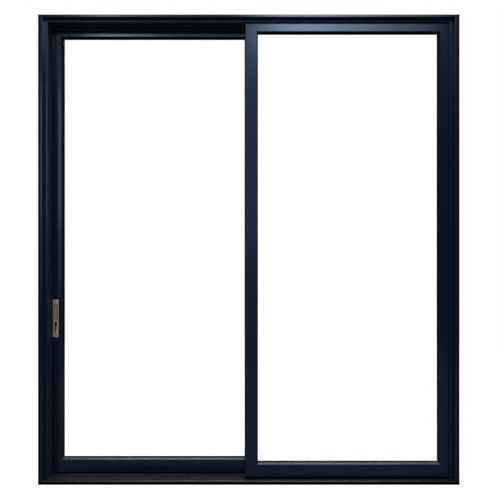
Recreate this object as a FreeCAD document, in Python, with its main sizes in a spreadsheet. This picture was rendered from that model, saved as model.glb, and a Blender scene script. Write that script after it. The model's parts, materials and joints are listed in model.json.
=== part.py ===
"""Two-panel aluminium sliding patio door, seen from outside.

A fixed panel stands in the outer track on the right, and a sliding panel rolls in the
inner track on the left. Millimetres: X to the right, Y towards the inside, Z up, with
the origin at the centre of the sill's underside.
"""
import FreeCAD
import Part
import os
import Sketcher

SIZES = {
    # Whole frame
    "door_width": 1810,
    "door_height": 2020,
    "wall": 2.5,
    "lip_width": 19,
    "lip_depth": 24,
    "leg_thick": 6,
    "inner_leg_thick": 8.5,
    "jamb_reach": 33.5,
    "web_thick": 4,
    "head_cap": 10.3,
    "head_drop": 12,
    "centre_drop": 27.7,
    "sill_height": 16.5,
    "sill_floor": 3,
    "nose_radius": 5,
    "rib_height": 14,
    "outer_rib": 6,
    "inner_rib": 4,
    "upstand_height": 40,
    "cover_thick": 2,
    "cover_gap": 1,
    "fixing_hole": 8,
    "fixing_first": 250,
    "fixing_span": 1500,
    "edge_radius": 1.5,
    # Panels
    "panel_thick": 42,
    "track_clearance": 5,
    "panel_overlap": 12.5,
    "top_clearance": 5.7,
    "block_thick": 5,
    "block_length": 100,
    "block_width": 24,
    "block_inset": 150,
    "stile_width": 53,
    "top_rail_height": 44,
    "bottom_rail_height": 60,
    "fixed_lap": 14.3,
    "slider_lap": 36.7,
    "fin_place": 14,
    "fin_thick": 2.5,
    "fin_reach": 11,
    "fin_gap": 5.5,
    "fin_end_gap": 5,
    # Glazing
    "glazing_lip": 5,
    "lip_bevel": 4,
    "top_lip_bevel": 2,
    "rebate": 15,
    "glass_bite": 13,
    "gasket_depth": 7,
    "gasket_show": 2,
    "gasket_lap": 8,
    "pane_thick": 4,
    "pane_gap": 12,
    "spacer_width": 6,
    "spacer_inset": 1.5,
    "bead_chamfer": 2,
    "bead_joint": 0.3,
    # Rollers
    "rail_cap": 1,
    "rail_skirt": 4,
    "wheel_radius": 12,
    "wheel_width": 11,
    "flange_height": 1.5,
    "groove_clearance": 0.5,
    "running_gap": 0.3,
    "roller_inset": 90,
    "axle_radius": 3,
    "axle_clearance": 0.1,
    "housing_length": 60,
    "housing_height": 26,
    "housing_plate": 2,
    "housing_gap": 1,
    "slot_gap": 3,
    # Flush pull and lock
    "pull_height": 168.5,
    "pull_width": 24,
    "pull_proud": 1.5,
    "pull_corner": 3,
    "pull_rim": 0.6,
    "pull_centre": 704.5,
    "pull_inset": 24.5,
    "pull_room": 8.2,
    "cup_margin": 2,
    "cup_depth": 13,
    "cup_clearance": 0.2,
    "well_width": 18,
    "well_height": 74,
    "well_depth": 9,
    "well_margin": 20.75,
    "recess_width": 12,
    "recess_height": 52,
    "recess_depth": 10,
    "recess_margin": 18.75,
    "lever_width": 8,
    "lever_boss": 4,
    "lever_length": 22,
    "lever_tip": 1.8,
    "lever_tilt": 12,
    "pivot_depth": 5.5,
    "pivot_radius": 1.5,
    "pivot_clearance": 0.05,
    "pivot_grip": 3,
    "lock_plate_thick": 2,
    "lock_plate_width": 22,
    "lock_plate_height": 190,
    "lock_slot_width": 10,
    "lock_slot_height": 60,
    # Travel stop
    "stop_gap": 5,
    "stop_width": 20,
    "stop_height": 40,
    "stop_place": 1000,
}

PLACES = {
    # Across the door, from its middle
    "half": "dim.door_width / 2",
    "tip": "place.half - dim.jamb_reach",
    "web": "place.half - dim.web_thick",
    "edge": "place.tip + dim.panel_overlap",
    # From the outside to the inside
    "depth": "dim.lip_depth + 2 * dim.leg_thick + dim.inner_leg_thick + 2 * dim.panel_thick"
             " + 4 * dim.track_clearance + dim.pull_proud",
    "front": "-place.depth / 2",
    "back": "place.depth / 2",
    "step": "place.front + dim.lip_depth",
    "outer_track": "place.step + dim.leg_thick",
    "centre_leg": "place.outer_track + dim.panel_thick + 2 * dim.track_clearance",
    "inner_track": "place.centre_leg + dim.leg_thick",
    "inner_leg": "place.back - dim.inner_leg_thick",
    "fixed_face": "place.outer_track + dim.track_clearance",
    "slider_face": "place.inner_track + dim.track_clearance + dim.pull_proud",
    "fixed_middle": "place.fixed_face + dim.panel_thick / 2",
    "slider_middle": "place.slider_face + dim.panel_thick / 2",
    # From the sill to the head
    "head_under": "dim.door_height - dim.head_cap",
    "leg_end": "place.head_under - dim.head_drop",
    "centre_end": "place.head_under - dim.centre_drop",
    "panel_bottom": "dim.rib_height + dim.block_thick",
    "panel_top": "place.head_under - dim.top_clearance",
    "panel_height": "place.panel_top - place.panel_bottom",
    "rail_top": "dim.rib_height + dim.rail_cap",
    "wheel_centre": "place.rail_top + dim.running_gap + dim.wheel_radius",
    "fin_bottom": "place.panel_bottom + dim.fin_end_gap",
    "fin_top": "place.centre_end - dim.fin_end_gap",
    # Glazing, from a panel's face
    "glass_front": "dim.glazing_lip + dim.gasket_depth",
    "glass_back": "place.glass_front + 2 * dim.pane_thick + dim.pane_gap",
    # Flush pull, from its own centre
    "pull_x": "-place.edge + dim.pull_inset",
    "recess_z": "-dim.pull_height / 2 + dim.recess_margin + dim.recess_height / 2",
    "lever_z": "dim.pull_centre + place.recess_z",
    # The open panel's pull stays clear of the fixed meeting stile
    "travel": "-dim.fixed_lap - dim.pull_room - place.pull_x - dim.pull_width / 2",
}

# Two points closer than this are the same corner
TOUCH = 0.001

doc = FreeCAD.newDocument("sliding_patio_door")
dim = doc.addObject("Spreadsheet::Sheet", "dim")
place = doc.addObject("App::VarSet", "place")
nodes = []


def write_sizes():
    """Each size is a plain number in the sheet, and each place follows from the sizes."""
    for row, (name, value) in enumerate(SIZES.items(), 1):
        dim.set(f"A{row}", name)
        dim.set(f"B{row}", str(value))
        dim.setAlias(f"B{row}", name)
    doc.recompute()
    for name, formula in PLACES.items():
        place.addProperty("App::PropertyFloat", name)
        place.setExpression(name, formula)
        doc.recompute()


def value(formula):
    return float(place.evalExpression(formula))


def move(thing, x="0", y="0", z="0"):
    """Bind a piece's position to three formulas."""
    for axis, formula in zip("xyz", (x, y, z)):
        thing.setExpression(f"Placement.Base.{axis}", formula)
    return thing


def new_body(label):
    body = doc.addObject("PartDesign::Body", label)
    body.Label = label
    return body


def new_sketch(body, role, offset=None):
    """A sketch on one of the body's own planes, moved along its normal by offset."""
    sketch = body.newObject("Sketcher::SketchObject", f"{body.Name}_sketch")
    plane = next(feature for feature in body.Origin.OriginFeatures if feature.Role == role)
    sketch.AttachmentSupport = [(plane, "")]
    sketch.MapMode = "FlatFace"
    if offset:
        sketch.setExpression("AttachmentOffset.Base.z", offset)
    return sketch


def pin_point(sketch, geometry, point, x, y):
    """Dimension a point of the sketch from the sketch's origin."""
    for kind, formula in (("DistanceX", x), ("DistanceY", y)):
        index = sketch.addConstraint(
            Sketcher.Constraint(kind, -1, 1, geometry, point, value(formula)))
        sketch.setExpression(f"Constraints[{index}]", formula)


def draw_loop(sketch, corners):
    """A closed loop of straight lines through corners, each a pair of formulas."""
    first = sketch.GeometryCount
    count = len(corners)
    spots = [FreeCAD.Vector(value(x), value(y), 0) for x, y in corners]
    for index in range(count):
        sketch.addGeometry(Part.LineSegment(spots[index], spots[(index + 1) % count]))
    for index in range(count):
        sketch.addConstraint(
            Sketcher.Constraint("Coincident", first + index, 2, first + (index + 1) % count, 1))
    for index, (x, y) in enumerate(corners):
        pin_point(sketch, first + index, 1, x, y)


def draw_rectangle(sketch, x0, y0, x1, y1):
    draw_loop(sketch, [(x0, y0), (x1, y0), (x1, y1), (x0, y1)])


def draw_circle(sketch, x, y, radius):
    centre = FreeCAD.Vector(value(x), value(y), 0)
    circle = sketch.addGeometry(
        Part.Circle(centre, FreeCAD.Vector(0, 0, 1), value(radius)))
    pin_point(sketch, circle, 3, x, y)
    index = sketch.addConstraint(Sketcher.Constraint("Radius", circle, value(radius)))
    sketch.setExpression(f"Constraints[{index}]", radius)


def pad(body, sketch, length, reverse=False, symmetric=False):
    feature = body.newObject("PartDesign::Pad", f"{body.Name}_pad")
    feature.Profile = sketch
    feature.Reversed = reverse
    feature.SideType = "Symmetric" if symmetric else "One side"
    feature.setExpression("Length", length)
    return feature


def pocket(body, sketch, length, reverse=False, symmetric=False):
    feature = body.newObject("PartDesign::Pocket", f"{body.Name}_pocket")
    feature.Profile = sketch
    feature.Reversed = reverse
    feature.SideType = "Symmetric" if symmetric else "One side"
    feature.setExpression("Length", length)
    return feature


def extrusion(label, role, loops, length, symmetric=False, soft=(), radius="dim.edge_radius"):
    """One length of an extruded section: the first loop is its outside, the rest are hollows.

    soft names the corners of the outside, by their order in the loop, that are rounded.
    """
    body = new_body(label)
    sketch = new_sketch(body, role)
    for loop in loops:
        draw_loop(sketch, loop)
    pad(body, sketch, length, symmetric=symmetric)
    if soft:
        soften(body, role, [loops[0][index] for index in soft], radius)
    return body


def soften(body, role, corners, radius="dim.edge_radius"):
    """Round the edges of the last pad that run along it through the given section corners."""
    first, second = {"XY_Plane": "xy", "YZ_Plane": "yz"}[role]
    spots = [(value(x), value(y)) for x, y in corners]

    def on_spot(point):
        return any(abs(getattr(point, first) - x) + abs(getattr(point, second) - y) < TOUCH
                   for x, y in spots)

    round_edges(body, lambda edge: all(on_spot(vertex.Point) for vertex in edge.Vertexes), radius)


def round_edges(body, chosen, radius):
    """Round the edges of the body's last feature that chosen picks out."""
    doc.recompute()
    base = body.Tip
    rounding = body.newObject("PartDesign::Fillet", f"{body.Name}_rounding")
    rounding.Base = (base, [f"Edge{index}" for index, edge in enumerate(base.Shape.Edges, 1) if chosen(edge)])
    rounding.setExpression("Radius", radius)


def rectangle(x0, y0, x1, y1):
    return [(x0, y0), (x1, y0), (x1, y1), (x0, y1)]


def box(label, x, y, z):
    """A plain block between three pairs of formulas."""
    block = doc.addObject("Part::Box", label)
    block.Label = label
    for side, (low, high) in zip(("Length", "Width", "Height"), (x, y, z)):
        block.setExpression(side, f"({high}) - ({low})")
    return move(block, x[0], y[0], z[0])


def group(label, pieces):
    """Like pieces that share one node without touching."""
    compound = doc.addObject("Part::Compound", label)
    compound.Label = label
    compound.Links = pieces
    return compound


def keep(node):
    nodes.append(node)
    return node


# The frame


def jamb(label, side):
    """A jamb stands on the sill: front lip box, front step, web, centre leg and inner leg."""
    def across(name):
        return f"{side} * ({name})"

    outside = [
        (across("place.half"), "place.front"),
        (across("place.half - dim.lip_width"), "place.front"),
        (across("place.half - dim.lip_width"), "place.step"),
        (across("place.tip"), "place.step"),
        (across("place.tip"), "place.outer_track"),
        (across("place.web"), "place.outer_track"),
        (across("place.web"), "place.centre_leg"),
        (across("place.tip"), "place.centre_leg"),
        (across("place.tip"), "place.inner_track"),
        (across("place.web"), "place.inner_track"),
        (across("place.web"), "place.inner_leg"),
        (across("place.tip"), "place.inner_leg"),
        (across("place.tip"), "place.back"),
        (across("place.half"), "place.back"),
    ]
    hollow = rectangle(
        across("place.half - dim.wall"), "place.front + dim.wall",
        across("place.half - dim.lip_width + dim.wall"), "place.step - dim.wall")
    body = extrusion(label, "XY_Plane", [outside, hollow], "place.head_under - dim.sill_height",
                     soft=(0, 1, 3, 12, 13))
    holes = new_sketch(body, "YZ_Plane", across("place.half"))
    for height in ("dim.fixing_first", "dim.fixing_first + dim.fixing_span"):
        draw_circle(holes, "place.slider_middle", f"{height} - dim.sill_height", "dim.fixing_hole / 2")
    pocket(body, holes, "2 * dim.web_thick", symmetric=True)
    return move(body, z="dim.sill_height")


def head():
    """The head's hollow cap lies over both jambs, and its three legs hang between them."""
    body = new_body("head")
    cap = new_sketch(body, "YZ_Plane")
    draw_rectangle(cap, "place.front", "place.head_under", "place.back", "dim.door_height")
    draw_rectangle(cap, "place.front + dim.wall", "place.head_under + dim.wall",
                   "place.back - dim.wall", "dim.door_height - dim.wall")
    pad(body, cap, "dim.door_width", symmetric=True)
    soften(body, "YZ_Plane", [("place.front", "dim.door_height"), ("place.back", "dim.door_height")])
    legs = new_sketch(body, "YZ_Plane")
    for start, end, low in (
            ("place.step", "place.outer_track", "place.leg_end"),
            ("place.centre_leg", "place.inner_track", "place.centre_end"),
            ("place.inner_leg", "place.back", "place.leg_end")):
        draw_rectangle(legs, start, low, end, "place.head_under")
    pad(body, legs, "2 * place.tip", symmetric=True)
    return body


def sill():
    """The sill runs under both jambs: round hollow nose, two ribbed tracks and an inner upstand."""
    def rib(middle, width):
        return [(f"{middle} + {width} / 2", "dim.sill_floor"), (f"{middle} + {width} / 2", "dim.rib_height"),
                (f"{middle} - {width} / 2", "dim.rib_height"), (f"{middle} - {width} / 2", "dim.sill_floor")]

    outside = [
        ("place.front", "0"),
        ("place.back", "0"),
        ("place.back", "dim.sill_height"),
        ("place.inner_leg", "dim.sill_height"),
        ("place.inner_leg", "dim.sill_floor"),
        *rib("place.slider_middle", "dim.inner_rib"),
        ("place.inner_track", "dim.sill_floor"),
        ("place.inner_track", "dim.sill_height"),
        ("place.centre_leg", "dim.sill_height"),
        ("place.centre_leg", "dim.sill_floor"),
        *rib("place.fixed_middle", "dim.outer_rib"),
        ("place.step", "dim.sill_floor"),
        ("place.step", "dim.sill_height"),
        ("place.front", "dim.sill_height"),
    ]
    hollow = [
        ("place.front + dim.wall", "dim.wall"),
        ("place.step - dim.wall", "dim.wall"),
        ("place.step - dim.wall", "dim.sill_height - dim.wall"),
        ("place.front + dim.wall + dim.nose_radius", "dim.sill_height - dim.wall"),
        ("place.front + dim.wall", "dim.sill_height - dim.wall - dim.nose_radius"),
    ]
    body = extrusion("sill", "YZ_Plane", [outside, hollow], "dim.door_width", symmetric=True,
                     soft=(-1,), radius="dim.nose_radius")
    upstand = new_sketch(body, "YZ_Plane")
    draw_rectangle(upstand, "place.inner_leg", "dim.sill_height", "place.back", "dim.upstand_height")
    pad(body, upstand, "2 * place.tip", symmetric=True)
    return body


def sill_tread():
    """A channel that covers the empty half of the outer track, level with the sill's nose."""
    section = [
        ("place.step", "dim.sill_floor"),
        ("place.step + dim.cover_thick", "dim.sill_floor"),
        ("place.step + dim.cover_thick", "dim.rib_height"),
        ("place.centre_leg - dim.cover_thick", "dim.rib_height"),
        ("place.centre_leg - dim.cover_thick", "dim.sill_floor"),
        ("place.centre_leg", "dim.sill_floor"),
        ("place.centre_leg", "dim.sill_height"),
        ("place.step", "dim.sill_height"),
    ]
    body = extrusion("sill_tread", "YZ_Plane", [section],
                     "place.half - dim.fixed_lap - dim.cover_gap")
    return move(body, x="-place.half")


def jamb_filler():
    """A channel that closes the outer track of the left jamb."""
    section = [
        ("-place.tip", "place.outer_track"),
        ("-place.tip", "place.centre_leg"),
        ("-place.web", "place.centre_leg"),
        ("-place.web", "place.centre_leg - dim.cover_thick"),
        ("-place.tip - dim.cover_thick", "place.centre_leg - dim.cover_thick"),
        ("-place.tip - dim.cover_thick", "place.outer_track + dim.cover_thick"),
        ("-place.web", "place.outer_track + dim.cover_thick"),
        ("-place.web", "place.outer_track"),
    ]
    body = extrusion("jamb_filler", "XY_Plane", [section], "place.head_under - dim.sill_height")
    return move(body, z="dim.sill_height")


def head_filler():
    """A channel that closes the empty half of the head's outer track."""
    section = [
        ("place.outer_track", "place.leg_end"),
        ("place.centre_leg", "place.leg_end"),
        ("place.centre_leg", "place.head_under"),
        ("place.centre_leg - dim.cover_thick", "place.head_under"),
        ("place.centre_leg - dim.cover_thick", "place.leg_end + dim.cover_thick"),
        ("place.outer_track + dim.cover_thick", "place.leg_end + dim.cover_thick"),
        ("place.outer_track + dim.cover_thick", "place.head_under"),
        ("place.outer_track", "place.head_under"),
    ]
    body = extrusion("head_filler", "YZ_Plane", [section],
                     "place.tip - dim.fixed_lap - dim.cover_gap")
    return move(body, x="-place.tip")


def roller_rail():
    """A stainless cap folded over the inner rib."""
    half_rib = "dim.inner_rib / 2"
    half_cap = "(dim.inner_rib / 2 + dim.rail_cap)"
    low = "place.rail_top - dim.rail_skirt"
    section = [
        (f"place.slider_middle - {half_cap}", low),
        (f"place.slider_middle - {half_rib}", low),
        (f"place.slider_middle - {half_rib}", "dim.rib_height"),
        (f"place.slider_middle + {half_rib}", "dim.rib_height"),
        (f"place.slider_middle + {half_rib}", low),
        (f"place.slider_middle + {half_cap}", low),
        (f"place.slider_middle + {half_cap}", "place.rail_top"),
        (f"place.slider_middle - {half_cap}", "place.rail_top"),
    ]
    return extrusion("roller_rail", "YZ_Plane", [section], "dim.door_width", symmetric=True)


def travel_stop():
    """The bumper on the right jamb that the sliding panel runs up to."""
    return box("travel_stop",
               ("dim.slider_lap + place.travel + dim.stop_gap", "place.web"),
               ("place.slider_middle - dim.stop_width / 2", "place.slider_middle + dim.stop_width / 2"),
               ("dim.stop_place - dim.stop_height / 2", "dim.stop_place + dim.stop_height / 2"))


# The panels


def stile(label, outer_edge, side, face, extra=None):
    """A hollow upright with a bevelled lip and a rebate for the glass.

    side is the way from its outer edge inwards.
    """
    def across(name):
        return f"{side} * ({name})"

    outside = [
        (across("0"), "0"),
        (across("dim.stile_width"), "0"),
        (across("dim.stile_width"), "dim.glazing_lip"),
        (across("dim.stile_width - dim.rebate"), "dim.glazing_lip"),
        (across("dim.stile_width - dim.rebate"), "dim.panel_thick"),
        (across("0"), "dim.panel_thick"),
    ]
    hollow = rectangle(across("dim.wall"), "dim.wall",
                       across("dim.stile_width - dim.rebate - dim.wall"), "dim.panel_thick - dim.wall")
    body = extrusion(label, "XY_Plane", [outside, hollow], "place.panel_height", soft=(0, 1, 5))
    bevel = new_sketch(body, "XY_Plane", "dim.bottom_rail_height - dim.lip_bevel")
    draw_loop(bevel, [(across("dim.stile_width - dim.lip_bevel"), "0"), (across("dim.stile_width"), "0"),
                      (across("dim.stile_width"), "dim.lip_bevel")])
    daylight = "place.panel_height - dim.bottom_rail_height - dim.top_rail_height"
    pocket(body, bevel, f"{daylight} + dim.lip_bevel + dim.top_lip_bevel", reverse=True)
    if extra:
        extra(body)
    return move(body, outer_edge, face, "place.panel_bottom")


def fixed_fin(body):
    """The fixed meeting stile's weather fin, on its back."""
    sketch = new_sketch(body, "XY_Plane", "place.fin_bottom - place.panel_bottom")
    draw_rectangle(sketch, "dim.fin_place", "dim.panel_thick",
                   "dim.fin_place + dim.fin_thick", "dim.panel_thick + dim.fin_reach")
    pad(body, sketch, "place.fin_top - place.fin_bottom")


def slider_fin(body):
    """The sliding meeting stile's fin, just inside the fixed one when the door is closed."""
    start = "-dim.slider_lap - dim.fixed_lap + dim.fin_place + dim.fin_thick + dim.fin_gap"
    sketch = new_sketch(body, "XY_Plane", "place.fin_bottom - place.panel_bottom")
    draw_rectangle(sketch, start, "-dim.fin_reach", f"{start} + dim.fin_thick", "0")
    pad(body, sketch, "place.fin_top - place.fin_bottom")


def lock_openings(body):
    """Openings in the lock stile for the two flush pulls and, at its edge, the lock's bolt."""
    half_width = "(dim.pull_width / 2 - dim.cup_margin + dim.cup_clearance)"
    half_height = "(dim.pull_height / 2 - dim.cup_margin + dim.cup_clearance)"
    height = "(dim.pull_centre - place.panel_bottom)"
    for offset in ("0", "dim.wall - dim.panel_thick"):
        sketch = new_sketch(body, "XZ_Plane", offset)
        draw_rectangle(sketch,
                       f"dim.pull_inset - {half_width}", f"{height} - {half_height}",
                       f"dim.pull_inset + {half_width}", f"{height} + {half_height}")
        pocket(body, sketch, "dim.wall")
    slot = new_sketch(body, "YZ_Plane")
    draw_rectangle(slot,
                   "(dim.panel_thick - dim.lock_slot_width) / 2", f"{height} - dim.lock_slot_height / 2",
                   "(dim.panel_thick + dim.lock_slot_width) / 2", f"{height} + dim.lock_slot_height / 2")
    pocket(body, slot, "dim.wall", reverse=True)


def rail(label, outer_edge, side, height, bevel, face, left, right, extra=None):
    """A hollow rail between two stiles; side is the way from its outer edge towards the glass."""
    def up(name):
        return f"{side} * ({name})"

    outside = [
        ("0", up("0")),
        ("dim.panel_thick", up("0")),
        ("dim.panel_thick", up(f"{height} - dim.rebate")),
        ("dim.glazing_lip", up(f"{height} - dim.rebate")),
        ("dim.glazing_lip", up(height)),
        (bevel, up(height)),
        ("0", up(f"{height} - {bevel}")),
    ]
    hollow = rectangle("dim.wall", up("dim.wall"),
                       "dim.panel_thick - dim.wall", up(f"{height} - dim.rebate - dim.wall"))
    body = extrusion(label, "YZ_Plane", [outside, hollow], f"({right}) - ({left})", soft=(0, 1))
    if extra:
        extra(body)
    return move(body, left, face, outer_edge)


def wheel_slots(body):
    """Slots under the bottom rail where the two wheels reach the track."""
    half_length = "(dim.wheel_radius + dim.flange_height + dim.slot_gap)"
    half_width = "(dim.wheel_width / 2 + dim.housing_gap)"
    length = "(place.edge - 2 * dim.stile_width + dim.slider_lap)"
    sketch = new_sketch(body, "XY_Plane")
    for middle in ("dim.roller_inset", f"{length} - dim.roller_inset"):
        draw_rectangle(sketch,
                       f"{middle} - {half_length}", f"dim.panel_thick / 2 - {half_width}",
                       f"{middle} + {half_length}", f"dim.panel_thick / 2 + {half_width}")
    pocket(body, sketch, "dim.wall", reverse=True)


def glazing(prefix, face, left, right):
    """Sealed unit, outer gasket and inner beads in a panel whose stiles end at left and right."""
    low = "place.panel_bottom + dim.bottom_rail_height"
    high = "place.panel_top - dim.top_rail_height"
    glass_x = (f"{left} - dim.glass_bite", f"{right} + dim.glass_bite")
    glass_z = (f"{low} - dim.glass_bite", f"{high} + dim.glass_bite")
    front = f"{face} + place.glass_front"
    middle = f"{front} + dim.pane_thick"
    inner = f"{middle} + dim.pane_gap"
    keep(box(f"{prefix}_glass_outer", glass_x, (front, middle), glass_z))
    keep(box(f"{prefix}_glass_inner", glass_x, (inner, f"{inner} + dim.pane_thick"), glass_z))

    spacer_x = (f"{glass_x[0]} + dim.spacer_inset", f"{glass_x[1]} - dim.spacer_inset")
    spacer_z = (f"{glass_z[0]} + dim.spacer_inset", f"{glass_z[1]} - dim.spacer_inset")
    spacer = new_body(f"{prefix}_glass_spacer")
    sketch = new_sketch(spacer, "XZ_Plane")
    draw_rectangle(sketch, spacer_x[0], spacer_z[0], spacer_x[1], spacer_z[1])
    draw_rectangle(sketch, f"{spacer_x[0]} + dim.spacer_width", f"{spacer_z[0]} + dim.spacer_width",
                   f"{spacer_x[1]} - dim.spacer_width", f"{spacer_z[1]} - dim.spacer_width")
    pad(spacer, sketch, "dim.pane_gap", reverse=True)
    keep(move(spacer, y=middle))

    gasket = new_body(f"{prefix}_gasket")
    ring = new_sketch(gasket, "XZ_Plane")
    draw_rectangle(ring, f"{left} - dim.gasket_lap", f"{low} - dim.gasket_lap",
                   f"{right} + dim.gasket_lap", f"{high} + dim.gasket_lap")
    pad(gasket, ring, "dim.gasket_depth")
    daylight = new_sketch(gasket, "XZ_Plane")
    draw_rectangle(daylight, f"{left} + dim.gasket_show", f"{low} + dim.gasket_show",
                   f"{right} - dim.gasket_show", f"{high} - dim.gasket_show")
    cut = pocket(gasket, daylight, "dim.gasket_depth", reverse=True)
    cut.setExpression("TaperAngle", "atan(dim.gasket_show / dim.gasket_depth)")
    keep(move(gasket, y=front))

    bead_depth = "(dim.panel_thick - place.glass_back)"

    def bead_section(side):
        return [(f"{side} * 0", "0"), (f"{side} * dim.rebate", "0"),
                (f"{side} * dim.rebate", f"{bead_depth} - dim.bead_chamfer"),
                (f"{side} * (dim.rebate - dim.bead_chamfer)", bead_depth), (f"{side} * 0", bead_depth)]

    def turned(section):
        return [(y, x) for x, y in section]

    beads = []
    for end, side, start in (("bottom", "1", f"{low} - dim.rebate"), ("top", "-1", f"{high} + dim.rebate")):
        bead = extrusion(f"{prefix}_bead_{end}", "YZ_Plane", [turned(bead_section(side))],
                         f"({right}) - ({left}) + 2 * dim.rebate")
        beads.append(move(bead, f"{left} - dim.rebate", f"{face} + place.glass_back", start))
    for end, side, start in (("left", "1", f"{left} - dim.rebate"), ("right", "-1", f"{right} + dim.rebate")):
        bead = extrusion(f"{prefix}_bead_{end}", "XY_Plane", [bead_section(side)],
                         f"({high}) - ({low}) - 2 * dim.bead_joint")
        beads.append(move(bead, start, f"{face} + place.glass_back", f"{low} + dim.bead_joint"))
    keep(group(f"{prefix}_glazing_beads", beads))


def fixed_panel():
    left = "-dim.fixed_lap + dim.stile_width"
    right = "place.edge - dim.stile_width"
    keep(stile("fixed_meeting_stile", "-dim.fixed_lap", "1", "place.fixed_face", fixed_fin))
    keep(stile("fixed_jamb_stile", "place.edge", "-1", "place.fixed_face"))
    keep(rail("fixed_bottom_rail", "place.panel_bottom", "1", "dim.bottom_rail_height", "dim.lip_bevel",
              "place.fixed_face", left, right))
    keep(rail("fixed_top_rail", "place.panel_top", "-1", "dim.top_rail_height", "dim.top_lip_bevel",
              "place.fixed_face", left, right))
    glazing("fixed", "place.fixed_face", left, right)
    blocks = []
    for end, start in (("left", f"{left} + dim.block_inset"),
                       ("right", f"{right} - dim.block_inset - dim.block_length")):
        blocks.append(box(f"fixed_block_{end}", (start, f"{start} + dim.block_length"),
                          ("place.fixed_middle - dim.block_width / 2",
                           "place.fixed_middle + dim.block_width / 2"),
                          ("dim.rib_height", "place.panel_bottom")))
    keep(group("fixed_setting_blocks", blocks))


def sliding_panel():
    left = "-place.edge + dim.stile_width"
    right = "dim.slider_lap - dim.stile_width"
    keep(stile("slider_lock_stile", "-place.edge", "1", "place.slider_face", lock_openings))
    keep(stile("slider_meeting_stile", "dim.slider_lap", "-1", "place.slider_face", slider_fin))
    keep(rail("slider_bottom_rail", "place.panel_bottom", "1", "dim.bottom_rail_height", "dim.lip_bevel",
              "place.slider_face", left, right, wheel_slots))
    keep(rail("slider_top_rail", "place.panel_top", "-1", "dim.top_rail_height", "dim.top_lip_bevel",
              "place.slider_face", left, right))
    glazing("slider", "place.slider_face", left, right)
    rollers(left, right)


def rollers(left, right):
    """Two grooved wheels, each on the axle of a housing that sits in the bottom rail."""
    housings = []
    wheels = []
    for end, middle in (("left", f"{left} + dim.roller_inset"), ("right", f"{right} - dim.roller_inset")):
        housings.append(roller_housing(end, middle))
        wheels.append(roller_wheel(end, middle))
    keep(group("roller_housings", housings))
    keep(group("roller_wheels", wheels))


def roller_housing(end, middle):
    floor = "(place.panel_bottom + dim.wall - place.wheel_centre)"
    inner = "(dim.wheel_width / 2 + dim.housing_gap)"
    outer = f"({inner} + dim.housing_plate)"
    section = [
        (f"-{outer}", floor),
        (f"-{inner}", floor),
        (f"-{inner}", f"{floor} + dim.housing_height - dim.housing_plate"),
        (inner, f"{floor} + dim.housing_height - dim.housing_plate"),
        (inner, floor),
        (outer, floor),
        (outer, f"{floor} + dim.housing_height"),
        (f"-{outer}", f"{floor} + dim.housing_height"),
    ]
    body = extrusion(f"roller_housing_{end}", "YZ_Plane", [section], "dim.housing_length", symmetric=True)
    axle = new_sketch(body, "XZ_Plane")
    draw_circle(axle, "0", "0", "dim.axle_radius")
    pad(body, axle, f"2 * {outer}", symmetric=True)
    return move(body, middle, "place.slider_middle", "place.wheel_centre")


def roller_wheel(end, middle):
    half_width = "(dim.wheel_width / 2)"
    groove = "(dim.inner_rib / 2 + dim.rail_cap + dim.groove_clearance)"
    rim = "(dim.wheel_radius + dim.flange_height)"
    section = [
        (f"-{half_width}", "dim.axle_radius + dim.axle_clearance"),
        (half_width, "dim.axle_radius + dim.axle_clearance"),
        (half_width, rim),
        (groove, rim),
        (groove, "dim.wheel_radius"),
        (f"-{groove}", "dim.wheel_radius"),
        (f"-{groove}", rim),
        (f"-{half_width}", rim),
    ]
    body = new_body(f"roller_wheel_{end}")
    sketch = new_sketch(body, "YZ_Plane")
    draw_loop(sketch, section)
    turn = body.newObject("PartDesign::Revolution", f"{body.Name}_turn")
    turn.Profile = sketch
    turn.ReferenceAxis = (sketch, ["H_Axis"])
    turn.Angle = 360
    return move(body, middle, "place.slider_middle", "place.wheel_centre")


# The flush pulls and the lock


def pull_plate(label):
    """A die-cast flush pull: thin flange with soft corners and rim, and a cup set in the stile."""
    body = new_body(label)
    flange = new_sketch(body, "XZ_Plane")
    draw_rectangle(flange, "-dim.pull_width / 2", "-dim.pull_height / 2",
                   "dim.pull_width / 2", "dim.pull_height / 2")
    pad(body, flange, "dim.pull_proud")
    round_edges(body, lambda edge: abs(edge.tangentAt(edge.FirstParameter).y) > 0.99, "dim.pull_corner")
    front = -value("dim.pull_proud")
    round_edges(body, lambda edge: all(abs(vertex.Y - front) < TOUCH for vertex in edge.Vertexes),
                "dim.pull_rim")
    cup = new_sketch(body, "XZ_Plane")
    draw_rectangle(cup, "-dim.pull_width / 2 + dim.cup_margin", "-dim.pull_height / 2 + dim.cup_margin",
                   "dim.pull_width / 2 - dim.cup_margin", "dim.pull_height / 2 - dim.cup_margin")
    pad(body, cup, "dim.cup_depth", reverse=True)
    return body


def finger_well(body, start, height):
    """A scoop in the pull, an arc in section, from start upwards."""
    radius = "((dim.well_width ^ 2 / 4 + dim.well_depth ^ 2) / (2 * dim.well_depth))"
    sketch = new_sketch(body, "XY_Plane", start)
    draw_circle(sketch, "0", f"dim.well_depth - dim.pull_proud - {radius}", radius)
    pocket(body, sketch, height, reverse=True)


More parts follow.
